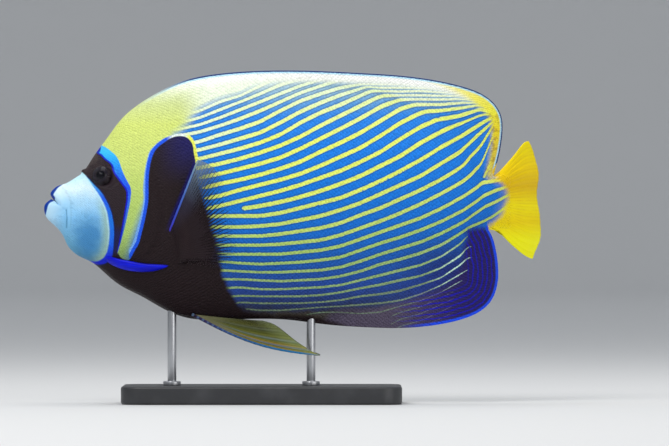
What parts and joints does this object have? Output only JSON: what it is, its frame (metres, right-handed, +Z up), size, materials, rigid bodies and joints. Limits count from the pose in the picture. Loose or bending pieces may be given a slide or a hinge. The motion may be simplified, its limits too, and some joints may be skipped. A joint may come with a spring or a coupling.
{
  "type": "angelfish display model",
  "caption": "Life-size still model of a deep-bodied striped reef angelfish with its tail swept aside, held over a flat base by short rods.",
  "frame": {"origin": "middle of the underside of the stand's base", "axes": "+X towards the tail, +Y towards the fish's right side, +Z up"},
  "size_m": [0.3393, 0.106, 0.2261],
  "materials": {
    "nape_skin": "moist yellow skin with a dark eye mask",
    "muzzle_skin": "smooth pale blue skin",
    "cheek_skin": "dark skin with a yellow bar",
    "spine_blue": "smooth deep blue thorn",
    "eye": "wet dark eye with a clear cornea",
    "flank_skin": "small scales, blue with narrow yellow stripes",
    "back_fin": "scaled fin, pale with a yellow rear edge",
    "dark_fin": "scaled fin, navy with blue lines",
    "tail_fin": "rayed fin, clear yellow",
    "side_fin": "thin rayed fin, dark at the root and clear at the margin",
    "belly_fin": "thin rayed fin, olive with blue rays",
    "stand_black": "satin black",
    "stand_steel": "satin steel"
  },
  "bodies": {
    "root": {"head": "nape_skin", "upper_jaw": "muzzle_skin", "lower_jaw": "muzzle_skin", "gill_cover_left": "cheek_skin", "gill_cover_right": "cheek_skin", "cheek_spine_left": "spine_blue", "cheek_spine_right": "spine_blue", "eye_left": "eye", "eye_right": "eye", "trunk": "flank_skin", "tail_base": "flank_skin", "dorsal_fin": "back_fin", "anal_fin": "dark_fin", "caudal_fin": "tail_fin", "pectoral_fin_left": "side_fin", "pectoral_fin_right": "side_fin", "pelvic_fin_left": "belly_fin", "pelvic_fin_right": "belly_fin", "stand_base": "stand_black", "stand_rod_front": "stand_steel", "stand_rod_rear": "stand_steel"}
  },
  "joints": []
}
